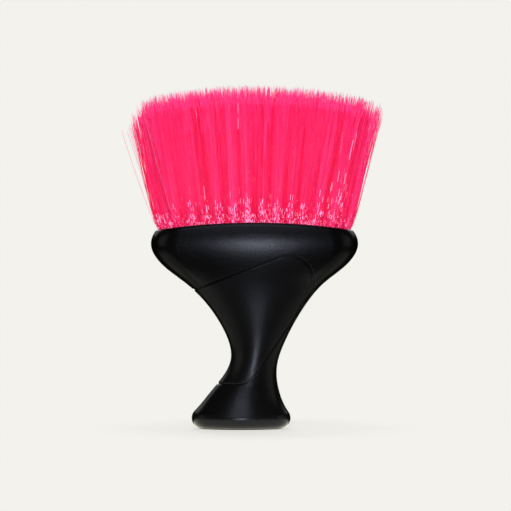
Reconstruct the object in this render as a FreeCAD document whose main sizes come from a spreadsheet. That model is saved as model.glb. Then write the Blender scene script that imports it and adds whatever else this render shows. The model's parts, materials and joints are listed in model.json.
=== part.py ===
"""Neck duster brush: a barber's fan-shaped brush that stands on its flared foot.

Frame in millimetres: +Z runs from the foot to the bristle tips, +X across the broad face, -Y is
the front. The origin lies on the resting plane, under the middle of the head.

A rigid handle is moulded hollow from both ends. An oval tuft block closes the head pocket and an
oval plug closes the foot. A soft grip is moulded over the waist and wraps round its left edge.
Nylon tufts stand in staggered rows of blind holes, each folded round a flat wire anchor. A tuft is
held below the flex line and bends above it, so it is made as a root and a free length.
"""

import FreeCAD, Part
import math
import os

import Sketcher
from FreeCAD import Placement, Rotation, Vector

# Driving dimensions in millimetres and degrees. "half" means measured from the mid-plane.
DIMENSIONS = {
    # head: arched rim and the pocket for the tuft block
    "rim_height": 102.75,
    "rim_drop": 3.6,
    "rim_drop_at": 48.5,
    "rim_round": 1.8,
    "rim_inner_round": 0.4,
    "pocket_half_width": 46.3,
    "pocket_half_depth": 13.0,
    "pocket_side": 12.7,
    "pocket_floor": 88.0,
    "bead_level": 92.0,
    "bead_height": 1.4,
    "bead_reach": 0.5,
    # foot and its plug
    "foot_round": 5.3,
    "plug_centre": -6.5,
    "plug_half_width": 16.0,
    "plug_half_depth": 7.2,
    "plug_side": 6.3,
    "plug_ledge": 2.5,
    "plug_recess": 0.0,
    "plug_clearance": 0.1,
    "skirt_height": 4.0,
    "skirt_wall": 1.5,
    "skirt_gap": 2.6,
    # blank badge on the front of the head
    "badge_centre": 1.5,
    "badge_height": 94.2,
    "badge_width": 26.0,
    "badge_tall": 5.6,
    "badge_depth": 0.4,
    "badge_start": 8.0,
    # soft grip: a lobe, an upper edge rising to it, a long lower edge falling from it
    "grip_raise": 0.5,
    "grip_raise_side": 0.15,
    "grip_sunk": 1.1,
    "grip_round": 0.5,
    "grip_bottom": 22.6,
    "grip_bottom_round": 12.0,
    "grip_fall": 57.0,
    "grip_rise": 20.8,
    "grip_lobe_across": 16.5,
    "grip_lobe_height": 74.2,
    "grip_lobe_round": 11.9,
    # groove in the handle round the grip, wider beside the lobe and shallow at the handle's sides
    "groove_width": 0.5,
    "groove_depth": 0.9,
    "groove_depth_side": 0.6,
    "groove_round": 0.3,
    "groove_lobe_extra": 0.5,
    "groove_spread": 1.0,
    # tuft block
    "block_recess": 2.6,
    "block_clearance": 0.1,
    # tufts: the flex line, the staggered grid and the fan
    "flex_height": 103.0,
    "row_pitch": 4.8,
    "tuft_pitch": 6.65,
    "hole_radius": 2.2,
    "hole_depth": 7.5,
    "tuft_radius": 2.15,
    "tip_radius": 3.45,
    "tip_height": 170.2,
    "tip_drop": 9.0,
    "tip_drop_at": 60.0,
    "fan_angle": 13.2,
    "row_angle": 2.5,
    "flex_gap": 0.15,
    # wire anchors
    "anchor_length": 5.0,
    "anchor_thickness": 0.45,
    "anchor_height": 1.6,
    "anchor_seat": 0.9,
}

# The handle's outline from the sole up: height, left edge, right edge, half depth, side radius.
STATIONS = {
    "sole": (0.0, -37.3, 22.6, 17.4, 13.9),
    "instep": (9.0, -29.9, 16.6, 14.3, 11.4),
    "ankle": (18.0, -22.3, 12.55, 11.6, 9.3),
    "throat": (26.0, -15.8, 11.1, 10.3, 8.7),
    "neck": (34.0, -11.85, 11.75, 9.8, 8.7),
    "waist": (43.0, -12.6, 15.0, 9.9, 8.5),
    "flare": (53.0, -17.25, 20.0, 10.7, 8.6),
    "hip": (63.0, -24.3, 26.3, 11.8, 9.4),
    "shoulder": (73.0, -34.8, 35.0, 13.4, 10.9),
    "cheek": (81.5, -45.7, 45.6, 15.3, 13.0),
    "bulge": (92.5, -51.8, 51.8, 16.9, 14.8),
    "brow": (98.6, -49.6, 49.6, 16.7, 14.9),
    "crest": (105.0, -45.8, 45.8, 16.2, 14.5),
}
STATION_FIELDS = ("height", "left", "right", "depth", "side")

# Hollows above and below the solid web in the neck: height, centre, half width, half depth, side.
UPPER_HOLLOW = {
    "ledge": (88.0, 0.0, 42.5, 10.2, 9.0),
    "chest": (76.0, 0.0, 31.0, 9.8, 8.4),
    "belly": (60.0, 0.5, 18.0, 7.6, 6.4),
    "pit": (39.5, 0.4, 7.6, 6.0, 5.2),
}
LOWER_HOLLOW = {
    "mouth": (2.5, -6.5, 15.0, 6.4, 5.6),
    "arch": (16.0, -5.0, 9.0, 6.2, 5.4),
    "crown": (33.0, -1.0, 5.6, 5.2, 4.7),
}
HOLLOW_FIELDS = ("height", "centre", "half", "depth", "side")

ROW_TUFTS = (12, 13, 14, 13, 12)

doc = FreeCAD.newDocument("neck_duster")
sheet = doc.addObject("Spreadsheet::Sheet", "Dims")


def fill_sheet():
    """Writes every driving dimension into the sheet, with its name as the cell's alias."""
    cells = dict(DIMENSIONS)
    for name, values in STATIONS.items():
        cells.update({f"{name}_{field}": v for field, v in zip(STATION_FIELDS, values)})
    for name, values in {**UPPER_HOLLOW, **LOWER_HOLLOW}.items():
        cells.update({f"{name}_{field}": v for field, v in zip(HOLLOW_FIELDS, values)})
    for line, (alias, value) in enumerate(cells.items(), start=1):
        sheet.set(f"A{line}", alias)
        sheet.set(f"B{line}", str(value))
        sheet.setAlias(f"B{line}", alias)
    doc.recompute()


def size(alias):
    return float(sheet.get(alias))


def add(kind, name, **values):
    """Adds an object and sets its properties; a text value for a number is an expression."""
    made = doc.addObject(kind, name)
    for key, value in values.items():
        if isinstance(value, str):
            made.setExpression(key, value)
        else:
            setattr(made, key, value)
    return made


def new_sketch(body, name, role):
    sketch = body.newObject("Sketcher::SketchObject", name)
    flat = next(f for f in body.Origin.OriginFeatures if f.Role == role)
    sketch.AttachmentSupport = (flat, [""])
    sketch.MapMode = "FlatFace"
    return sketch


def relate(sketch, kind, *where):
    return sketch.addConstraint(Sketcher.Constraint(kind, *where))


def drive(sketch, expression, kind, *where):
    """Adds a dimension whose value is an expression in the sheet's names."""
    value = sketch.evalExpression(expression)
    if kind == "Angle":
        value = math.radians(value.Value)
    index = relate(sketch, kind, *where, value)
    sketch.setExpression(f"Constraints[{index}]", expression)


def circle_arc(x, y, radius, start, end):
    return Part.ArcOfCircle(Part.Circle(Vector(x, y, 0), Vector(0, 0, 1), radius), start, end)


def oval_sketch(body, name, height, left, right, depth, side):
    """A level oval of four tangent arcs: two broad faces and two tight sides."""
    sketch = new_sketch(body, name, "XY_Plane")
    sketch.setExpression("AttachmentOffset.Base.z", height)
    half = f"(({right}) - ({left})) / 2"
    broad = f"((({half}) - ({side}))^2 + ({depth})^2 - ({side})^2) / (2 * (({depth}) - ({side})))"
    xl, xr, b, r, big = (sketch.evalExpression(e) for e in (left, right, depth, side, broad))
    middle = (xl + xr) / 2
    reach = (xr - xl) / 2 - r
    turn = math.atan2(big - b, reach)
    sketch.addGeometry(
        [
            circle_arc(middle + reach, 0, r, -turn, turn),
            circle_arc(middle, b - big, big, turn, math.pi - turn),
            circle_arc(middle - reach, 0, r, math.pi - turn, math.pi + turn),
            circle_arc(middle, big - b, big, math.pi + turn, 2 * math.pi - turn),
        ],
        False,
    )
    for first, second in ((0, 1), (1, 2), (2, 3), (3, 0)):
        relate(sketch, "Tangent", first, 2, second, 1)
    relate(sketch, "PointOnObject", 0, 3, -1)
    relate(sketch, "PointOnObject", 2, 3, -1)
    relate(sketch, "Equal", 0, 2)
    relate(sketch, "Equal", 1, 3)
    drive(sketch, side, "Radius", 0)
    drive(sketch, broad, "Radius", 1)
    drive(sketch, f"({right}) - ({side})", "DistanceX", -1, 1, 0, 3)
    drive(sketch, f"({left}) + ({side})", "DistanceX", -1, 1, 2, 3)
    return sketch


def centred_oval(body, name, height, centre, half, depth, side):
    left = f"({centre}) - ({half})"
    right = f"({centre}) + ({half})"
    return oval_sketch(body, name, height, left, right, depth, side)


def loft(body, kind, name, sketches):
    feature = body.newObject(f"PartDesign::{kind}Loft", name)
    feature.Profile = sketches[0]
    feature.Sections = sketches[1:]
    feature.Ruled = False
    doc.recompute()
    return feature


def extrude(body, kind, name, sketch, length, reverse=False, both_sides=False):
    feature = body.newObject(f"PartDesign::{kind}", name)
    feature.Profile = sketch
    feature.setExpression("Length", length)
    feature.Reversed = reverse
    if both_sides:
        feature.SideType = "Symmetric"
    doc.recompute()
    return feature


def edges_where(shape, test):
    """Names the edges whose sampled points all pass the test."""
    names = []
    for number, edge in enumerate(shape.Edges, start=1):
        first, last = edge.ParameterRange
        points = [edge.valueAt(first + (last - first) * t) for t in (0.1, 0.5, 0.9)]
        if all(test(p) for p in points):
            names.append(f"Edge{number}")
    return names


def round_edges(body, name, radius, test):
    base = body.Tip
    feature = body.newObject("PartDesign::Fillet", name)
    feature.Base = (base, edges_where(base.Shape, test))
    feature.setExpression("Radius", radius)
    doc.recompute()
    return feature


def arch_radius():
    return "((Dims.rim_drop_at^2 + Dims.rim_drop^2) / (2 * Dims.rim_drop))"


def arch_cut(body, name, crown):
    """Trims everything above an arch across the broad face; crown is its height at the middle."""
    sketch = new_sketch(body, name + "_line", "XZ_Plane")
    radius = sketch.evalExpression(arch_radius())
    top = sketch.evalExpression(crown)
    span = 62.0
    over = 20.0
    lean = math.asin(span / radius)
    end = top - radius * (1 - math.cos(lean))
    arc = circle_arc(0, top - radius, radius, math.pi / 2 - lean, math.pi / 2 + lean)
    corners = [Vector(-span, end, 0), Vector(-span, top + over, 0)]
    corners += [Vector(span, top + over, 0), Vector(span, end, 0)]
    sketch.addGeometry([arc] + [Part.LineSegment(a, b) for a, b in zip(corners, corners[1:])], False)
    for first, second in ((0, 1), (1, 2), (2, 3)):
        relate(sketch, "Coincident", first, 2, second, 1)
    relate(sketch, "Coincident", 3, 2, 0, 1)
    relate(sketch, "Vertical", 1)
    relate(sketch, "Horizontal", 2)
    relate(sketch, "Vertical", 3)
    relate(sketch, "PointOnObject", 0, 3, -2)
    drive(sketch, arch_radius(), "Radius", 0)
    drive(sketch, f"({crown}) - {arch_radius()}", "DistanceY", -1, 1, 0, 3)
    relate(sketch, "DistanceX", -1, 1, 3, 1, span)
    relate(sketch, "DistanceX", 1, 1, -1, 1, span)
    relate(sketch, "DistanceY", 0, 2, 1, 2, top + over - end)
    return extrude(body, "Pocket", name, sketch, "80 mm", both_sides=True)


def arch_at(crown, x):
    """Height of an arch with the rim's curvature, x from the middle."""
    drop, at = size("rim_drop"), size("rim_drop_at")
    radius = (at**2 + drop**2) / (2 * drop)
    return crown - radius + math.sqrt(radius**2 - x**2)


def outline_loft(body, across="", deep=""):
    """The handle's outer skin; across and deep are expressions for how far to widen and thicken it."""
    sections = []
    for name in STATIONS:
        left, right, depth, side = (f"Dims.{name}_{f}" for f in STATION_FIELDS[1:])
        if across:
            left = f"{left} - ({across})"
            right, side = (f"{e} + ({across})" for e in (right, side))
            depth = f"{depth} + ({deep})"
        label = f"{body.Name}_{name}"
        sections.append(oval_sketch(body, label, f"Dims.{name}_height", left, right, depth, side))
    return loft(body, "Additive", f"{body.Name}_skin", sections)


def hollow_loft(body, label, stations):
    sections = []
    for name in stations:
        height, centre, half, depth, side = (f"Dims.{name}_{f}" for f in HOLLOW_FIELDS)
        sections.append(centred_oval(body, f"{label}_{name}", height, centre, half, depth, side))
    return loft(body, "Subtractive", label, sections)


def make_handle_moulding():
    """The rigid moulding before the grip is laid over it."""
    body = doc.addObject("PartDesign::Body", "moulding")
    outline_loft(body)
    arch_cut(body, "rim", "Dims.rim_height")
    crown = size("rim_height")
    round_edges(body, "rim_rounding", "Dims.rim_round", lambda p: abs(p.z - arch_at(crown, p.x)) < 0.01)
    round_edges(body, "foot_rounding", "Dims.foot_round", lambda p: abs(p.z) < 0.01)

    pocket = centred_oval(
        body, "pocket_line", "Dims.pocket_floor", "0", "Dims.pocket_half_width",
        "Dims.pocket_half_depth", "Dims.pocket_side",
    )
    extrude(body, "Pocket", "head_pocket", pocket, "30 mm", reverse=True)
    inside = size("pocket_half_depth") + 0.05
    round_edges(
        body, "rim_inner_rounding", "Dims.rim_inner_round",
        lambda p: abs(p.z - arch_at(crown, p.x)) < 0.01 and abs(p.y) < inside
        and abs(p.x) < size("pocket_half_width") + 0.05,
    )
    groove = centred_oval(
        body, "groove_line", "Dims.bead_level - Dims.block_clearance", "0",
        "Dims.pocket_half_width + Dims.bead_reach", "Dims.pocket_half_depth + Dims.bead_reach",
        "Dims.pocket_side + Dims.bead_reach",
    )
    extrude(body, "Pocket", "groove", groove, "Dims.bead_height + 2 * Dims.block_clearance", reverse=True)
    hollow_loft(body, "upper_hollow", UPPER_HOLLOW)

    seat = centred_oval(
        body, "seat_line", "Dims.plug_ledge", "Dims.plug_centre", "Dims.plug_half_width",
        "Dims.plug_half_depth", "Dims.plug_side",
    )
    extrude(body, "Pocket", "plug_seat", seat, "10 mm")
    hollow_loft(body, "lower_hollow", LOWER_HOLLOW)

    return body


def stadium(sketch, across, up, width, tall):
    """A level slot with round ends, centred at (across, up)."""
    x, z, w, h = (sketch.evalExpression(e) for e in (across, up, width, tall))
    r = h / 2
    run = w / 2 - r
    sketch.addGeometry(
        [
            circle_arc(x + run, z, r, -math.pi / 2, math.pi / 2),
            Part.LineSegment(Vector(x + run, z + r, 0), Vector(x - run, z + r, 0)),
            circle_arc(x - run, z, r, math.pi / 2, 3 * math.pi / 2),
            Part.LineSegment(Vector(x - run, z - r, 0), Vector(x + run, z - r, 0)),
        ],
        False,
    )
    for first, second in ((0, 1), (1, 2), (2, 3), (3, 0)):
        relate(sketch, "Tangent", first, 2, second, 1)
    relate(sketch, "Horizontal", 1)
    relate(sketch, "Equal", 0, 2)
    drive(sketch, f"({tall}) / 2", "Radius", 0)
    drive(sketch, f"({across}) + ({width} - {tall}) / 2", "DistanceX", -1, 1, 0, 3)
    drive(sketch, f"({across}) - ({width} - {tall}) / 2", "DistanceX", -1, 1, 2, 3)
    drive(sketch, up, "DistanceY", -1, 1, 0, 3)


def make_grip_outline(label, wider=0.0, lobe_extra=0.0):
    """A block through the whole depth with the grip's outline as seen from the front.

    wider moves the whole border outwards. With lobe_extra the lobe's far side moves further still,
    and the long lower edge closes in on the grip's towards its foot.
    """
    body = doc.addObject("PartDesign::Body", f"{label}_outline")
    sketch = new_sketch(body, f"{label}_line", "XZ_Plane")
    cx, cz = size("grip_lobe_across") + lobe_extra, size("grip_lobe_height")
    r = size("grip_lobe_round") + wider + lobe_extra
    spread = " - Dims.groove_spread" if lobe_extra else ""
    fall = math.radians(sketch.evalExpression(f"Dims.grip_fall{spread}"))
    rise = math.radians(size("grip_rise"))
    floor, heel = size("grip_bottom") - wider, size("grip_bottom_round") + wider
    far = -60.0
    lobe_low = Vector(cx + r * math.sin(fall), cz - r * math.cos(fall), 0)
    lobe_high = Vector(cx - r * math.sin(rise), cz + r * math.cos(rise), 0)
    toe_x = lobe_low.x - (lobe_low.y - floor) / math.tan(fall)
    back = heel * math.tan(fall / 2)
    heel_low = Vector(toe_x - back, floor, 0)
    heel_high = Vector(toe_x + back * math.cos(fall), floor + back * math.sin(fall), 0)
    left_high = Vector(far, lobe_high.y + (far - lobe_high.x) * math.tan(rise), 0)
    left_low = Vector(far, floor, 0)
    sketch.addGeometry(
        [
            Part.LineSegment(left_low, heel_low),
            circle_arc(heel_low.x, floor + heel, heel, -math.pi / 2, fall - math.pi / 2),
            Part.LineSegment(heel_high, lobe_low),
            circle_arc(cx, cz, r, fall - math.pi / 2, rise + math.pi / 2),
            Part.LineSegment(lobe_high, left_high),
            Part.LineSegment(left_high, left_low),
        ],
        False,
    )
    relate(sketch, "Tangent", 0, 2, 1, 1)
    relate(sketch, "Tangent", 1, 2, 2, 1)
    relate(sketch, "Tangent", 2, 2, 3, 1)
    relate(sketch, "Tangent", 3, 2, 4, 1)
    relate(sketch, "Coincident", 4, 2, 5, 1)
    relate(sketch, "Coincident", 5, 2, 0, 1)
    relate(sketch, "Horizontal", 0)
    relate(sketch, "Vertical", 5)
    relate(sketch, "DistanceX", 0, 1, -1, 1, -far)
    more = " + Dims.groove_width" if wider else ""
    less = " - Dims.groove_width" if wider else ""
    extra = " + Dims.groove_lobe_extra" if lobe_extra else ""
    drive(sketch, f"Dims.grip_bottom{less}", "DistanceY", -1, 1, 0, 1)
    drive(sketch, f"Dims.grip_bottom_round{more}", "Radius", 1)
    drive(sketch, f"(Dims.grip_fall{spread}) * 1 deg", "Angle", 2)
    drive(sketch, f"Dims.grip_lobe_round{more}{extra}", "Radius", 3)
    drive(sketch, f"Dims.grip_lobe_across{extra}", "DistanceX", -1, 1, 3, 3)
    drive(sketch, "Dims.grip_lobe_height", "DistanceY", -1, 1, 3, 3)
    drive(sketch, "(180 + Dims.grip_rise) * 1 deg", "Angle", 4)
    extrude(body, "Pad", f"{label}_slab", sketch, "60 mm", both_sides=True)
    return body


def make_soft_grip(outline):
    """The band between a skin just proud of the handle and a skin just under it."""
    outer = doc.addObject("PartDesign::Body", "grip_top")
    outline_loft(outer, "Dims.grip_raise_side", "Dims.grip_raise")
    inner = doc.addObject("PartDesign::Body", "grip_bed")
    outline_loft(inner, "-Dims.grip_sunk", "-Dims.grip_sunk")
    band = add("Part::Cut", "grip_band", Base=outer, Tool=inner)
    blank = add("Part::MultiCommon", "grip_blank", Shapes=[band, outline])
    doc.recompute()
    rim = proud_edges(blank.Shape, inner.Shape, size("grip_sunk") / 2)
    grip = add("Part::Fillet", "soft_grip", Base=blank)
    grip.Edges = [(number, size("grip_round"), size("grip_round")) for number in rim]
    return outer, blank, grip


def cut_groove(moulding, skin):
    """The moulding with a rounded groove round the grip's border."""
    bed = doc.addObject("PartDesign::Body", "groove_bed")
    outline_loft(bed, "-Dims.groove_depth_side", "-Dims.groove_depth")
    outline = make_grip_outline("groove", size("groove_width"), size("groove_lobe_extra"))
    band = add("Part::Cut", "groove_band", Base=skin, Tool=bed)
    tool = add("Part::MultiCommon", "groove_blank", Shapes=[band, outline])
    sharp = add("Part::Cut", "grip_groove", Base=moulding, Tool=tool)
    doc.recompute()
    lip = proud_edges(sharp.Shape, bed.Shape, size("groove_depth_side") / 2)
    grooved = add("Part::Fillet", "groove_rounding", Base=sharp)
    grooved.Edges = [(number, size("groove_round"), size("groove_round")) for number in lip]
    return grooved


def cut_badge(handle):
    """The handle with a shallow blank recess on the front of its head, where a badge would go."""
    bed = doc.addObject("PartDesign::Body", "badge_bed")
    outline_loft(bed, "-Dims.badge_depth", "-Dims.badge_depth")
    slab = doc.addObject("PartDesign::Body", "badge_slab")
    line = new_sketch(slab, "badge_line", "XZ_Plane")
    line.setExpression("AttachmentOffset.Base.z", "Dims.badge_start")
    stadium(line, "Dims.badge_centre", "Dims.badge_height", "Dims.badge_width", "Dims.badge_tall")
    extrude(slab, "Pad", "badge_block", line, "20 mm")
    tool = add("Part::Cut", "badge_blank", Base=slab, Tool=bed)
    return add("Part::Cut", "badge_recess", Base=handle, Tool=tool)


def square_to_front(face):
    """True for a face that runs straight from front to back."""
    first_u, last_u, first_v, last_v = face.ParameterRange
    for share in (0.3, 0.7):
        u = first_u + (last_u - first_u) * share
        v = first_v + (last_v - first_v) * share
        if abs(face.normalAt(u, v).y) > 0.001:
            return False
    return True


def proud_edges(band, bed, clear):
    """Numbers the border edges, front and back, that stand clear of the bed below them."""
    numbers = []
    for number, edge in enumerate(band.Edges, start=1):
        faces = band.ancestorsOfType(edge, Part.Face)
        first, last = edge.ParameterRange
        middle = Part.Vertex(edge.valueAt((first + last) / 2))
        borders = sum(square_to_front(face) for face in faces)
        if borders == 1 and bed.distToShape(middle)[0] > clear:
            numbers.append(number)
    return numbers


def make_foot_plug():
    body = doc.addObject("PartDesign::Body", "foot_plug")
    gap = "Dims.plug_clearance"
    plate = centred_oval(
        body, "plate_line", "Dims.plug_recess", "Dims.plug_centre",
        f"Dims.plug_half_width - {gap}", f"Dims.plug_half_depth - {gap}", f"Dims.plug_side - {gap}",
    )
    extrude(body, "Pad", "plate", plate, "Dims.plug_ledge - Dims.plug_recess")
    inset = "Dims.skirt_gap"
    outer = centred_oval(
        body, "skirt_line", "Dims.plug_ledge", "Dims.mouth_centre", f"Dims.mouth_half - {inset}",
        f"Dims.mouth_depth - {inset} / 2", f"Dims.mouth_side - {inset} / 2",
    )
    extrude(body, "Pad", "skirt", outer, "Dims.skirt_height")
    wall = "Dims.skirt_wall"
    inner = centred_oval(
        body, "skirt_hollow_line", "Dims.plug_ledge", "Dims.mouth_centre",
        f"Dims.mouth_half - {inset} - {wall}", f"Dims.mouth_depth - {inset} / 2 - {wall}",
        f"Dims.mouth_side - {inset} / 2 - {wall}",
    )
    extrude(body, "Pocket", "skirt_hollow", inner, "Dims.skirt_height", reverse=True)
    return body


def make_block_blank():
    """The tuft block before drilling, with a bead that snaps into the pocket's groove."""
    body = doc.addObject("PartDesign::Body", "block_blank")
    gap = "Dims.block_clearance"
    slab = centred_oval(
        body, "slab_line", "Dims.pocket_floor", "0", f"Dims.pocket_half_width - {gap}",
        f"Dims.pocket_half_depth - {gap}", f"Dims.pocket_side - {gap}",
    )
    extrude(body, "Pad", "slab", slab, "Dims.rim_height - Dims.pocket_floor")
    arch_cut(body, "block_top", "Dims.rim_height - Dims.block_recess")
    reach = f"Dims.bead_reach - {gap}"
    bead = centred_oval(
        body, "bead_line", "Dims.bead_level", "0", f"Dims.pocket_half_width + {reach}",
        f"Dims.pocket_half_depth + {reach}", f"Dims.pocket_side + {reach}",
    )
    extrude(body, "Pad", "bead", bead, "Dims.bead_height")
    return body


def tuft_frames(row):
    """Yields, tuft by tuft, its flex point, its direction in the fan and its free length."""
    count = ROW_TUFTS[row]
    step = row - (len(ROW_TUFTS) - 1) / 2
    widest = (max(ROW_TUFTS) - 1) / 2 * size("tuft_pitch")
    top, drop, at = size("tip_height"), size("tip_drop"), size("tip_drop_at")
    for index in range(count):
        x = (index - (count - 1) / 2) * size("tuft_pitch")
        flex = Vector(x, step * size("row_pitch"), size("flex_height"))
        across = math.tan(math.radians(size("fan_angle") * x / widest))
        along = math.tan(math.radians(size("row_angle") * step))
        tip_x = x + across * (top - flex.z)
        rise = top - drop * (tip_x / at) ** 2 - flex.z
        heading = Vector(across, along, 1)
        yield flex, heading, rise * heading.Length


def tuft_placement(flex, heading, down=0.0):
    """A placement whose Z runs along the tuft, its origin the given distance below the flex point."""
    turn = Rotation(Vector(1, 0, 0), Vector(0, 0, 0), heading, "ZXY")
    return Placement(flex - heading.normalize() * down, turn)


def make_row(row):
    """The free tufts, their roots, their anchors and the drilling for one row."""
    free, roots, anchors, drills = [], [], [], []
    for index, (flex, heading, length) in enumerate(tuft_frames(row)):
        tag = f"{row + 1}_{index + 1}"
        crown = size("rim_height") - size("block_recess")
        reach = flex.z - arch_at(crown, flex.x) + size("hole_depth")
        stub = reach - size("tuft_radius") - size("flex_gap")
        at_flex = tuft_placement(flex, Vector(heading))
        at_bottom = tuft_placement(flex, Vector(heading), reach)

        ball = add("Part::Sphere", f"ball_{tag}", Radius="Dims.tuft_radius", Placement=at_flex)
        cone = add(
            "Part::Cone", f"fan_{tag}", Radius1="Dims.tuft_radius", Radius2="Dims.tip_radius",
            Height=length, Placement=at_flex,
        )
        free.append(add("Part::MultiFuse", f"tuft_{tag}", Shapes=[ball, cone]))

        anchor = add(
            "Part::Box", f"anchor_{tag}", Length="Dims.anchor_length",
            Width="Dims.anchor_thickness", Height="Dims.anchor_height",
        )
        corner = Vector(-size("anchor_length") / 2, -size("anchor_thickness") / 2, size("anchor_seat"))
        anchor.Placement = at_bottom.multiply(Placement(corner, Rotation()))
        anchors.append(anchor)

        root = add(
            "Part::Cylinder", f"fold_{tag}", Radius="Dims.tuft_radius", Height=stub,
            Placement=at_bottom,
        )
        roots.append(add("Part::Cut", f"root_{tag}", Base=root, Tool=anchor))
        drills.append(
            add(
                "Part::Cylinder", f"drill_{tag}", Radius="Dims.hole_radius",
                Height=reach + size("tuft_radius"), Placement=at_bottom,
            )
        )
    return free, roots, anchors, drills


def compound(name, shapes):
    return add("Part::Compound", name, Links=shapes)


fill_sheet()
nodes = {}

moulding = make_handle_moulding()
skin, blank, grip = make_soft_grip(make_grip_outline("grip"))
grooved = cut_groove(moulding, skin)
nodes["handle_body"] = add("Part::Cut", "handle_body", Base=cut_badge(grooved), Tool=blank)
nodes["soft_grip"] = grip
nodes["foot_plug"] = make_foot_plug()

block_blank = make_block_blank()
all_drills = []
all_anchors = []
for row in range(len(ROW_TUFTS)):
    free, roots, anchors, drills = make_row(row)
    nodes[f"tuft_row_{row + 1}"] = compound(f"tuft_row_{row + 1}", free)
    nodes[f"tuft_roots_{row + 1}"] = compound(f"tuft_roots_{row + 1}", roots)
    nodes[f"anchor_wires_{row + 1}"] = compound(f"anchor_wires_{row + 1}", anchors)
    all_drills += drills
    all_anchors += anchors
tools = compound("drilling", all_drills + all_anchors)
nodes["tuft_block"] = add("Part::Cut", "tuft_block", Base=block_blank, Tool=tools)
doc.recompute()

os.makedirs("parts", exist_ok=True)
for made in doc.Objects:
    if "Invalid" in made.State or "Error" in made.State:
        raise RuntimeError(f"{made.Name} did not compute: {made.State}")
for name, made in nodes.items():
    made.Label = name
    if made.Shape.isNull() or not made.Shape.isValid():
        raise RuntimeError(f"{name} has no valid shape")
    made.Shape.exportStep(f"parts/{name}.step")
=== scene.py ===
"""The looks of the neck duster brush: nylon filaments, moulded plastic, soft grip, floor, light and camera.

The CAD handle, grip, foot plug, tuft block, roots and anchors are kept and get their materials here.
The five CAD tuft rows are replaced by bundles of separate filaments, one bundle for each row, which
run from the tuft block up to their trimmed tips. Metres, in the CAD frame: -Y is the front, +Z is up.
"""
import json
import math

import bpy
import numpy as np
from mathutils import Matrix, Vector


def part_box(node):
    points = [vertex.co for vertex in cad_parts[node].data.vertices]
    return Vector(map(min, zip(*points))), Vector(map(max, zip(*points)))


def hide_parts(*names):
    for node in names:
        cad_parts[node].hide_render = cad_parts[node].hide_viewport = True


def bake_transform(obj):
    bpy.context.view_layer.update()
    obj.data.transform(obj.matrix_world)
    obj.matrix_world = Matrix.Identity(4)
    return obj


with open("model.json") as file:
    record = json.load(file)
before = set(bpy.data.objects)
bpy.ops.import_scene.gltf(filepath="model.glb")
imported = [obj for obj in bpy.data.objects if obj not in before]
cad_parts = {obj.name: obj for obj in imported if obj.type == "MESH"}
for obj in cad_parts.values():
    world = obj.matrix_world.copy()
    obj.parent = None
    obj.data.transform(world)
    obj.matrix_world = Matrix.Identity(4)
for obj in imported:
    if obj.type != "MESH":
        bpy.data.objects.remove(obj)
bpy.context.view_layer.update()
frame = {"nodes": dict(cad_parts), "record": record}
nodes = frame["nodes"]

MM = 0.001
ROWS = (1, 2, 3, 4, 5)


# ---------------------------------------------------------------- materials

# the sheen of the black plastic is a little blue
SHEEN_TINT = (0.74, 0.79, 1.0, 1)
GRAIN_STRENGTH = 0.4
CLOUD_SCALE = 60.0


def new_material(name):
    material = bpy.data.materials.new(name)
    material.use_nodes = True
    tree = material.node_tree
    shader = tree.nodes["Principled BSDF"]
    return material, tree, shader


def link(tree, source, output, target, socket):
    tree.links.new(source.outputs[output], target.inputs[socket])


def noise(tree, scale, detail):
    """Noise in the object's own space, so it has a real size in metres."""
    place = tree.nodes.new("ShaderNodeTexCoord")
    node = tree.nodes.new("ShaderNodeTexNoise")
    node.inputs["Scale"].default_value = scale
    node.inputs["Detail"].default_value = detail
    link(tree, place, "Object", node, "Vector")
    return node


def spread(tree, source, low, high):
    """Stretches the middle of a noise, 0.3 to 0.7, over the range from low to high."""
    node = tree.nodes.new("ShaderNodeMapRange")
    node.inputs["From Min"].default_value = 0.3
    node.inputs["From Max"].default_value = 0.7
    node.inputs["To Min"].default_value = low
    node.inputs["To Max"].default_value = high
    link(tree, source, "Fac", node, "Value")
    return node


def moulded(name, dark, light, rough_low, rough_high, grain, height, specular):
    """Moulded plastic or soft-touch rubber: a fine grain of that height, and a faint cloudiness."""
    material, tree, shader = new_material(name)
    cloud = noise(tree, CLOUD_SCALE, 3.0)
    ramp = tree.nodes.new("ShaderNodeValToRGB")
    ramp.color_ramp.elements[0].position = 0.3
    ramp.color_ramp.elements[0].color = (*dark, 1)
    ramp.color_ramp.elements[1].position = 0.7
    ramp.color_ramp.elements[1].color = (*light, 1)
    link(tree, cloud, "Fac", ramp, "Fac")
    link(tree, ramp, "Color", shader, "Base Color")
    fine = noise(tree, grain, 2.0)
    rough = spread(tree, fine, rough_low, rough_high)
    link(tree, rough, "Result", shader, "Roughness")
    bump = tree.nodes.new("ShaderNodeBump")
    bump.inputs["Strength"].default_value = GRAIN_STRENGTH
    bump.inputs["Distance"].default_value = height
    link(tree, fine, "Fac", bump, "Height")
    link(tree, bump, "Normal", shader, "Normal")
    shader.inputs["Specular IOR Level"].default_value = specular
    shader.inputs["Specular Tint"].default_value = SHEEN_TINT
    return material


def nylon(name, colour, painted_glow_colour, painted_glow, roughness):
    """One shade of the fluorescent nylon. It glows a little: partly the dye's own fluorescence, partly
    painted light that stands in for light scattered through the filaments into the shade between them. A
    fine noise varies its gloss.
    """
    material, tree, shader = new_material(name)
    shader.inputs["Base Color"].default_value = (*colour, 1)
    shader.inputs["IOR"].default_value = 1.53
    shader.inputs["Specular IOR Level"].default_value = 0.15
    shader.inputs["Specular Tint"].default_value = (0.92, 0.84, 1.0, 1)
    # painted light: the nylon gives off light of its own, which fills the shade between filaments
    shader.inputs["Emission Color"].default_value = (*painted_glow_colour, 1)
    shader.inputs["Emission Strength"].default_value = painted_glow
    fine = noise(tree, 900.0, 1.0)
    rough = spread(tree, fine, roughness * 0.75, roughness * 1.3)
    link(tree, rough, "Result", shader, "Roughness")
    return material


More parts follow.
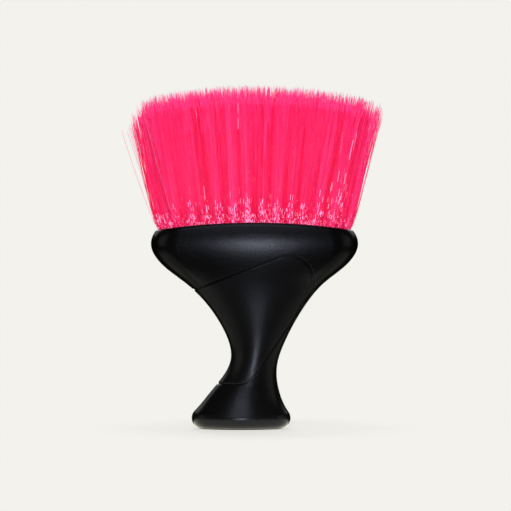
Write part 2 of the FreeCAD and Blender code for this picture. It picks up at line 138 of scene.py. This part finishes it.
def steel(name):
    material, tree, shader = new_material(name)
    shader.inputs["Base Color"].default_value = (0.6, 0.6, 0.58, 1)
    shader.inputs["Metallic"].default_value = 1.0
    drawn = noise(tree, 4000.0, 1.0)
    rough = spread(tree, drawn, 0.25, 0.45)
    link(tree, rough, "Result", shader, "Roughness")
    return material


def dress(name, material):
    """Gives a kept CAD node its material."""
    slots = nodes[name].material_slots
    for slot in slots:
        slot.material = material
    if not slots:
        nodes[name].data.materials.append(material)


black = moulded("black_moulding", (0.0016, 0.0016, 0.0017), (0.0024, 0.0024, 0.0026), 0.272, 0.288,
                grain=900.0, height=0.10 * MM, specular=0.115)
soft = moulded("soft_grip", (0.0017, 0.0017, 0.0019), (0.0026, 0.0026, 0.0028), 0.302, 0.318,
               grain=1000.0, height=0.10 * MM, specular=0.125)
carrier = moulded("carrier_plastic", (0.012, 0.012, 0.013), (0.018, 0.018, 0.019), 0.55, 0.65,
                  grain=2200.0, height=0.03 * MM, specular=0.3)
anchor = steel("anchor_steel")

# the shades of nylon: name, colour, colour of the painted light it gives off, strength of that painted
# light, roughness. The painted light lifts the shade between the filaments, beside the dye's own
# fluorescence
NYLONS = (
    ("nylon_deep", (0.85, 0.008, 0.096), (0.98, 0.008, 0.105), 0.20, 0.22),
    ("nylon_pink", (0.90, 0.027, 0.190), (0.96, 0.028, 0.180), 0.24, 0.22),
    ("nylon_light", (0.93, 0.060, 0.290), (0.96, 0.056, 0.250), 0.28, 0.22),
    ("nylon_tip", (0.94, 0.060, 0.290), (0.96, 0.056, 0.270), 0.32, 0.3),
    ("nylon_cut", (0.82, 0.160, 0.440), (0.96, 0.160, 0.440), 0.22, 0.5),
    # painted light: pale filaments at the brush's edge, where light shines through
    ("nylon_painted_rim", (0.97, 0.540, 0.840), (1.0, 0.460, 0.800), 0.32, 0.3),
    # a painted highlight: pale glowing specks that stand in for glints
    ("nylon_painted_glint", (0.92, 0.600, 1.0), (0.92, 0.560, 1.0), 0.55, 0.2),
    # painted shade: dark specks low in the tufts, between the painted glints
    ("nylon_shadow", (0.66, 0.010, 0.090), (0.96, 0.010, 0.120), 0.10, 0.22),
)
DEEP, PINK, LIGHT, TIP, CUT, PAINTED_RIM, PAINTED_GLINT, SHADOW = range(len(NYLONS))
pinks = [nylon(*shade) for shade in NYLONS]

for name in ("handle_body", "foot_plug"):
    dress(name, black)
dress("soft_grip", soft)
dress("tuft_block", carrier)
for k in ROWS:
    dress(f"anchor_wires_{k}", anchor)
    dress(f"tuft_roots_{k}", pinks[DEEP])


# ---------------------------------------------------------------- bristles

# each row's hinge, by body, with its place across the depth; they all lie at the flex line
HINGES = {joint["child"]: joint["pos_m"] for joint in frame["record"]["behaviour"]["joints"]}
FLEX_Z = HINGES["row_3"][2]

ROW_TUFTS = (12, 13, 14, 13, 12)
TUFT_PITCH = 6.65 * MM
WIDEST = 6.5 * TUFT_PITCH
HOLE = 2.0 * MM
FOOT_SUNK = 0.5 * MM

# the top of the tuft block is an arch that falls by BLOCK_DROP at BLOCK_HALF
BLOCK_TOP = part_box("tuft_block")[1][2]
BLOCK_DROP = 3.6 * MM
BLOCK_HALF = 48.5 * MM

# the trimmed top is a dome, under a millimetre higher than the CAD tufts. It falls by DOME_DROP at
# DOME_HALF and is cut rounder past CORNER_X.
TRIM_TOP = 171.0 * MM
DOME_DROP = 4.8 * MM
DOME_HALF = 50 * MM
DOME_POWER = 2.2
CORNER_X = -49 * MM
CORNER_REACH = 14 * MM
CORNER_FALL = 0.034 / MM

# how far the outermost tufts and rows lean outwards
FAN = math.radians(13.2)
FAN_LEFT = math.radians(11.4)
LEAN = math.radians(2.5)

# each tuft's filaments: how many, how thick, and the steps along them, closest near the hole
FILAMENTS = 120
RADIUS = 0.115 * MM
SIDES = 3
STEPS = np.array([0.0, 0.017, 0.034, 0.051, 0.069, 0.089, 0.111, 0.135, 0.162, 0.192,
                  0.227, 0.27, 0.325, 0.395, 0.48, 0.59, 0.75, 0.94, 0.985, 1.0])
TAPER = (0.95, 0.75, 0.30)

# how far a tuft spreads from its hole: a quick flare at first, then on to its tip, with scatter
FLARE_X = 1.3 * MM
FLARE_Y = 0.9 * MM
FLARE_RISE = 3.0 * MM
TIP_X = 4.5 * MM
TIP_Y = 4.1 * MM
SCATTER_X = 0.6 * MM
SCATTER_Y = 0.8 * MM
END_FLARE = 1.1 * MM
END_FLARE_LEAN = 4.4 * MM
BOW = 0.55 * MM
CRIMP = 0.26 * MM
CRIMP_AT = 0.09
CRIMP_REACH = 0.07

# a few at the ends of a row stray outwards
STRAY_SHARE = 0.035
STRAY_LEAST = 2.0 * MM
STRAY_MOST = 5.5 * MM

# under half of the filaments end near the trim line, and the rest some way below it
NEAR_SHARE = 0.42
NEAR_SHORT = 5.6 * MM
BELOW_SHORT = 6.2 * MM
BELOW_SCATTER = 1.1 * MM

# tones, from 0 for DEEP to 2 for LIGHT: filaments in one lock share theirs
MIDDLE_TONE = 1.05
TIP_TONE = 0.10
LOCKS = 9
LOCK_TONE = 0.42
OWN_TONE = 0.30
# painted shade: how much deeper the tone turns in the valleys between tufts, low down
PAINTED_VALLEY_SHADE = 1.9

# the chance that a step is a painted glint, a pale glowing speck in place of light caught by the crimped
# filaments: they climb highest in the middle of a tuft
PAINTED_GLINT_CHANCE = 0.15
PAINTED_GLINT_LOW = 0.085
PAINTED_GLINT_CLIMB = 0.165
STRAY_PAINTED_GLINT = 0.0008
PAINTED_GLINT_FADE = 43.3 * MM

# the same in the front tuft near x = 41 mm, whose painted glints reach higher up
PAINTED_GLINT_X = 41 * MM
PAINTED_GLINT_X_CHANCE = 0.055
PAINTED_GLINT_X_AT = 0.22
PAINTED_GLINT_X_REACH = 0.16
PAINTED_GLINT_X_EXTRA = 0.018

# the chance that a step is painted shade: dark specks low in the tuft, where shade falls between the
# filaments
PAINTED_SHADE_CHANCE = 0.30
PAINTED_SHADE_REACH = 0.17


def block_z(x):
    """The height of the tuft block's arched top."""
    radius = (BLOCK_HALF ** 2 + BLOCK_DROP ** 2) / (2 * BLOCK_DROP)
    return BLOCK_TOP - radius + np.sqrt(radius ** 2 - x ** 2)


def trim_z(x):
    """The line that the bristles are trimmed to."""
    dome = TRIM_TOP - DOME_DROP * (np.abs(x) / DOME_HALF) ** DOME_POWER
    return dome - CORNER_FALL * np.clip(CORNER_X - x, 0, CORNER_REACH) ** 2


def tuft_lines(x, y, lean, at_end, rng):
    """One tuft's centre lines, an array (filament, step, xyz), and what its shades depend on."""
    n = FILAMENTS
    t = STEPS[None, :]
    outward = math.copysign(1, x)
    across = math.tan((FAN if x > 0 else FAN_LEFT) * x / WIDEST)
    reach = TRIM_TOP - FLEX_Z

    # each filament's place in its round hole: u across the brush and v through it, from -1 to 1
    angle = rng.uniform(0, 2 * math.pi, n)
    out = np.sqrt(rng.uniform(0, 1, n))
    u, v = out * np.cos(angle), out * np.sin(angle)
    foot_x, foot_y = x + HOLE * u, y + HOLE * v
    foot_z = block_z(foot_x) - FOOT_SUNK
    tip_x = x + across * reach + TIP_X * u + rng.normal(0, SCATTER_X, n)
    tip_y = y + math.tan(lean) * reach + TIP_Y * v + rng.normal(0, SCATTER_Y, n)
    stray = at_end & (rng.uniform(0, 1, n) < STRAY_SHARE)
    tip_x = tip_x + stray * outward * rng.uniform(STRAY_LEAST, STRAY_MOST, n)

    near_line = rng.uniform(0, 1, n) < NEAR_SHARE
    near, below = rng.uniform(0, NEAR_SHORT, n), rng.normal(BELOW_SHORT, BELOW_SCATTER, n)
    short = np.where(near_line, near, below)
    top = trim_z(tip_x) - np.clip(short, 0, None)
    h = t * (top - foot_z)[:, None]

    # the flare is wider at the ends of a row, and the more so the further they lean
    end_of_row = np.clip((abs(x) / WIDEST - 0.75) / 0.25, 0, 1)
    end_flare = end_of_row * (END_FLARE + END_FLARE_LEAN * abs(across))
    flare_x = FLARE_X * u + outward * end_flare
    flare_y = FLARE_Y * v
    burst = 1 - np.exp(-h / FLARE_RISE)
    rest_x = tip_x - foot_x - flare_x
    rest_y = tip_y - foot_y - flare_y
    line = np.empty((n, len(STEPS), 3))
    line[:, :, 0] = foot_x[:, None] + flare_x[:, None] * burst + rest_x[:, None] * t
    line[:, :, 1] = foot_y[:, None] + flare_y[:, None] * burst + rest_y[:, None] * t
    line[:, :, 2] = foot_z[:, None] + h

    # a slow bow in each filament, and a crimp just above the hole
    bow = rng.normal(0, BOW, (n, 1, 2)) * np.sin(math.pi * t)[:, :, None]
    crimp = rng.normal(0, CRIMP, (n, len(STEPS), 2))
    crimp *= np.exp(-((t - CRIMP_AT) / CRIMP_REACH) ** 2)[:, :, None]
    line[:, :, :2] += bow + crimp
    return line, (angle, out, u, stray, near_line)


def tuft_shades(x, row, outermost_tuft, traits, rng):
    """The shade of nylon of each step of one tuft's filaments."""
    n = FILAMENTS
    t = STEPS[None, :]
    angle, out, u, stray, near_line = traits

    # the tone is deeper in the valleys between tufts, a painted shade where shade falls between them, and a
    # little lighter towards the tips
    lock_of = ((angle / (2 * math.pi) + 0.15 * out + rng.uniform(0, 1)) * LOCKS).astype(int) % LOCKS
    lock = rng.normal(0, LOCK_TONE, LOCKS)[lock_of]
    tone = MIDDLE_TONE + rng.normal(0, OWN_TONE, n) + lock
    painted_valley_shade = PAINTED_VALLEY_SHADE * np.clip((np.abs(u[:, None]) - 0.35) / 0.65, 0, 1)
    painted_valley_shade = painted_valley_shade * np.clip(1 - t / 0.80, 0, 1)
    shade = np.clip(np.round(tone[:, None] + TIP_TONE * t - painted_valley_shade), DEEP, LIGHT)

    # paler tips, and a few pale filaments at the very edge of the brush, painted light where light shines
    # through the thin edge of the fan
    paling = rng.uniform(0.80, 0.96, (n, 1))
    shade = np.where(t > paling, TIP, shade)
    clear = outermost_tuft & (u * math.copysign(1, x) > 0.85) & (rng.uniform(0, 1, n) < 0.25)
    shade = np.where(clear[:, None], PAINTED_RIM, shade)

    # painted glints, and painted shade in the gaps, low in the tuft
    painted_glint_strength = rng.lognormal(0.0, 0.3) * (1 - 0.4 * (x / PAINTED_GLINT_FADE) ** 4)
    painted_glint_height = (PAINTED_GLINT_LOW + PAINTED_GLINT_CLIMB * (1 - np.abs(u)) ** 1.5)[:, None]
    painted_glint_odds = PAINTED_GLINT_CHANCE * painted_glint_strength * np.exp(-(t / painted_glint_height) ** 3) + STRAY_PAINTED_GLINT
    # more painted glints, higher up, in this one front tuft
    if row == 1 and abs(x - PAINTED_GLINT_X) < 5 * MM:
        painted_glint_odds = painted_glint_odds + PAINTED_GLINT_X_CHANCE * np.exp(-((t - PAINTED_GLINT_X_AT) / PAINTED_GLINT_X_REACH) ** 2)
        painted_glint_odds = painted_glint_odds + PAINTED_GLINT_X_EXTRA * (t < 0.7)
    # painted shade: dark specks low down, more of them at a tuft's sides
    painted_shade_odds = PAINTED_SHADE_CHANCE * np.exp(-(t / PAINTED_SHADE_REACH) ** 3) * (0.4 + 0.6 * np.abs(u[:, None]))
    shade = np.where(rng.uniform(0, 1, shade.shape) < painted_shade_odds, SHADOW, shade)
    # painted glints: steps turned pale and glowing in place of light caught by the filaments
    shade = np.where(rng.uniform(0, 1, shade.shape) < painted_glint_odds, PAINTED_GLINT, shade)

    shade = np.where(stray[:, None], rng.choice([PINK, TIP, CUT], n)[:, None], shade)
    return np.where((t > 0.98) & near_line[:, None] & (shade != PAINTED_RIM), CUT, shade)


def row_filaments(row, y, rng):
    """One row's centre lines, and the shade of each of their steps."""
    count = ROW_TUFTS[row - 1]
    lean = LEAN * (row - 3)
    lines, shades = [], []
    for index in range(count):
        x = (index - (count - 1) / 2) * TUFT_PITCH
        at_end = index in (0, count - 1)
        line, traits = tuft_lines(x, y, lean, at_end, rng)
        lines.append(line)
        shades.append(tuft_shades(x, row, at_end and count == max(ROW_TUFTS), traits, rng))
    return np.concatenate(lines), np.concatenate(shades).astype(np.int32)


def tubes(lines, rng):
    """Vertices, faces and end caps of thin prisms along the lines, with each face's line and step."""
    n, m, _ = lines.shape
    way = np.gradient(lines, axis=1)
    way /= np.linalg.norm(way, axis=2, keepdims=True)
    side = np.cross(way, np.array([0.0, 1.0, 0.0]))
    side /= np.linalg.norm(side, axis=2, keepdims=True)
    other = np.cross(way, side)
    turn = rng.uniform(0, 2 * math.pi, (n, 1, 1))
    radius = RADIUS * np.concatenate([np.ones(m - len(TAPER)), TAPER])
    rings = []
    for corner in range(SIDES):
        a = turn + 2 * math.pi * corner / SIDES
        rings.append(lines + (side * np.cos(a) + other * np.sin(a)) * radius[None, :, None])
    verts = np.stack(rings, 2).reshape(-1, 3)

    owner = np.arange(n)[:, None, None]
    level = np.arange(m - 1)[None, :, None]
    corner = np.arange(SIDES)[None, None, :]
    base = (owner * m + level) * SIDES
    a, b = base + corner, base + (corner + 1) % SIDES
    quads = np.stack([a, b, b + SIDES, a + SIDES], 3).reshape(-1, 4)
    shape = (n, m - 1, SIDES)
    owner = np.broadcast_to(owner, shape).reshape(-1)
    level = np.broadcast_to(level, shape).reshape(-1)
    last = (np.arange(n) * m + m - 1) * SIDES
    caps = np.stack([last + corner for corner in range(SIDES)], 1)
    return verts, quads, caps, owner, level


def filament_piece(name, verts, quads, caps, quad_shades):
    """One mesh object of prisms. Their cut ends are flat caps in the shade of a cut end."""
    mesh = bpy.data.meshes.new(name)
    loops = np.concatenate([quads.reshape(-1), caps.reshape(-1)]).astype(np.int32)
    sizes = np.concatenate([np.full(len(quads), 4), np.full(len(caps), SIDES)])
    starts = np.concatenate([[0], np.cumsum(sizes)[:-1]]).astype(np.int32)
    shades = np.concatenate([quad_shades, np.full(len(caps), CUT)]).astype(np.int32)
    smooth = np.concatenate([np.ones(len(quads), bool), np.zeros(len(caps), bool)])
    mesh.vertices.add(len(verts))
    mesh.loops.add(len(loops))
    mesh.polygons.add(len(sizes))
    mesh.vertices.foreach_set("co", verts.astype(np.float32).reshape(-1))
    mesh.loops.foreach_set("vertex_index", loops)
    mesh.polygons.foreach_set("loop_start", starts)
    mesh.polygons.foreach_set("material_index", shades)
    mesh.polygons.foreach_set("use_smooth", smooth)
    for material in pinks:
        mesh.materials.append(material)
    mesh.update(calc_edges=True)
    mesh.validate()
    piece = bpy.data.objects.new(name, mesh)
    bpy.context.scene.collection.objects.link(piece)
    return piece


rng = np.random.default_rng(20261117)
for k in ROWS:
    y = HINGES[f"row_{k}"][1]
    lines, shades = row_filaments(k, y, rng)
    verts, quads, caps, owner, level = tubes(lines, rng)
    piece = filament_piece(f"filaments_row_{k}", verts, quads, caps, shades[owner, level])
    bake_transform(piece)
    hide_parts(f"tuft_row_{k}")


# ---------------------------------------------------------------- stage, light and camera

scene = bpy.context.scene
PALE = (0.896, 0.888, 0.847)
WHITE = (1.0, 1.0, 1.0)
WARM = (1.0, 0.96, 0.76)
FLOOR_HALF = 30.0

# near the foot, within about NEAR_REACH, the floor glows less and reflects a little
NEAR_REACH = 1 / 11
NEAR_GLOW = 0.69
NEAR_MATT = (0.29, 0.287, 0.274)


def floor_material():
    """A pale tone that glows evenly. Near the foot a part of it comes from the lamps instead, so
    that the brush throws a soft shadow there."""
    material = bpy.data.materials.new("pale_floor")
    material.use_nodes = True
    tree = material.node_tree
    tree.nodes.clear()
    out = tree.nodes.new("ShaderNodeOutputMaterial")
    far = tree.nodes.new("ShaderNodeEmission")
    far.inputs["Color"].default_value = (*PALE, 1)
    near = tree.nodes.new("ShaderNodeEmission")
    near.inputs["Color"].default_value = (*PALE, 1)
    near.inputs["Strength"].default_value = NEAR_GLOW
    matt = tree.nodes.new("ShaderNodeBsdfDiffuse")
    matt.inputs["Color"].default_value = (*NEAR_MATT, 1)
    both = tree.nodes.new("ShaderNodeAddShader")
    place = tree.nodes.new("ShaderNodeTexCoord")
    scale = tree.nodes.new("ShaderNodeMapping")
    scale.inputs["Scale"].default_value = [1 / NEAR_REACH] * 3
    ball = tree.nodes.new("ShaderNodeTexGradient")
    ball.gradient_type = "SPHERICAL"
    soft_edge = tree.nodes.new("ShaderNodeMapRange")
    soft_edge.interpolation_type = "SMOOTHSTEP"
    soft_edge.inputs["From Max"].default_value = 0.6
    mix = tree.nodes.new("ShaderNodeMixShader")
    link(tree, place, "Object", scale, "Vector")
    link(tree, scale, "Vector", ball, "Vector")
    link(tree, ball, "Fac", soft_edge, "Value")
    link(tree, near, "Emission", both, 0)
    link(tree, matt, "BSDF", both, 1)
    link(tree, soft_edge, "Result", mix, 0)
    link(tree, far, "Emission", mix, 1)
    link(tree, both, "Shader", mix, 2)
    link(tree, mix, "Shader", out, "Surface")
    return material


def pale_floor():
    """The floor that the brush stands on. The brush doesn't mirror it: lamps stand in for that."""
    mesh = bpy.data.meshes.new("floor")
    r = FLOOR_HALF
    mesh.from_pydata([(-r, -r, 0), (r, -r, 0), (r, r, 0), (-r, r, 0)], [], [(0, 1, 2, 3)])
    mesh.materials.append(floor_material())
    floor = bpy.data.objects.new("floor", mesh)
    scene.collection.objects.link(floor)
    floor.visible_glossy = False
    floor.visible_diffuse = False


def pale_world():
    """The same tone behind everything, seen by the camera alone."""
    world = bpy.data.worlds.new("studio")
    world.use_nodes = True
    background = world.node_tree.nodes["Background"]
    background.inputs["Color"].default_value = (*PALE, 1)
    background.inputs["Strength"].default_value = 1.0
    world.cycles_visibility.diffuse = False
    world.cycles_visibility.glossy = False
    scene.world = world


def area_lamp(name, place, aim, size, power, colour):
    data = bpy.data.lights.new(name, "AREA")
    data.shape = "RECTANGLE"
    data.size, data.size_y = size
    data.energy = power
    data.color = colour
    lamp = bpy.data.objects.new(name, data)
    lamp.location = place
    lamp.rotation_euler = (Vector(aim) - Vector(place)).to_track_quat("-Z", "Y").to_euler()
    lamp.visible_camera = False
    scene.collection.objects.link(lamp)


# name, place, point it faces, width and height, power in watts, colour
LAMPS = (
    ("key", (0.004, -0.42, 0.046), (0, 0, 0.070), (0.06, 0.07), 0.82, WHITE),
    ("soft", (-0.04, -0.95, 0.62), (0, 0, 0.09), (0.50, 0.36), 3.6, WHITE),
    ("fill_left", (-1.25, -0.35, 0.25), (0, 0, 0.09), (0.8, 0.8), 2.3, WARM),
    ("fill_right", (1.25, -0.30, 0.25), (0, 0, 0.09), (0.8, 0.8), 2.1, WARM),
    ("top", (0, 0.1, 1.3), (0, 0, 0.1), (0.9, 0.9), 1.5, WHITE),
    ("high", (-0.02, -0.65, 1.0), (0, 0, 0.09), (0.35, 0.35), 2.4, WHITE),
    ("back", (0, 1.1, 0.75), (0, 0, 0.1), (1.3, 0.5), 8, WHITE),
    ("back_left", (-0.75, 0.9, 0.62), (0, 0, 0.08), (0.5, 0.4), 0.7, WHITE),
    ("back_right", (0.75, 0.9, 0.62), (0, 0, 0.08), (0.5, 0.4), 0.7, WHITE),
    ("back_key", (0, 0.42, 0.27), (0, 0, 0.070), (0.08, 0.08), 0.5, WHITE),
    # light thrown up by the pale floor
    ("bounce", (0, -0.0345, 0.0005), (0, -0.0345, 1.0), (0.14, 0.08), 0.11, WARM),
    ("bounce_left", (-0.15, -0.02, 0.0005), (-0.15, -0.02, 1.0), (0.14, 0.14), 0.055, WARM),
    ("bounce_right", (0.15, -0.02, 0.0005), (0.15, -0.02, 1.0), (0.14, 0.14), 0.050, WARM),
)

# a long lens, level and square on, far enough back to see VIEW_WIDTH at the brush
LENS = 170
SENSOR = 36
VIEW_WIDTH = 0.2555
VIEW_X = 0.0005
VIEW_Z = 0.0865

pale_floor()
pale_world()
for lamp in LAMPS:
    area_lamp(*lamp)
scene.view_settings.view_transform = "Standard"

camera_data = bpy.data.cameras.new("camera")
camera_data.lens = LENS
camera_data.sensor_width = SENSOR
camera_data.clip_start = 0.05
camera_data.clip_end = 30
camera = bpy.data.objects.new("camera", camera_data)
camera.location = (VIEW_X, -VIEW_WIDTH * LENS / SENSOR, VIEW_Z)
camera.rotation_euler = (math.pi / 2, 0, 0)
scene.collection.objects.link(camera)
scene.camera = camera
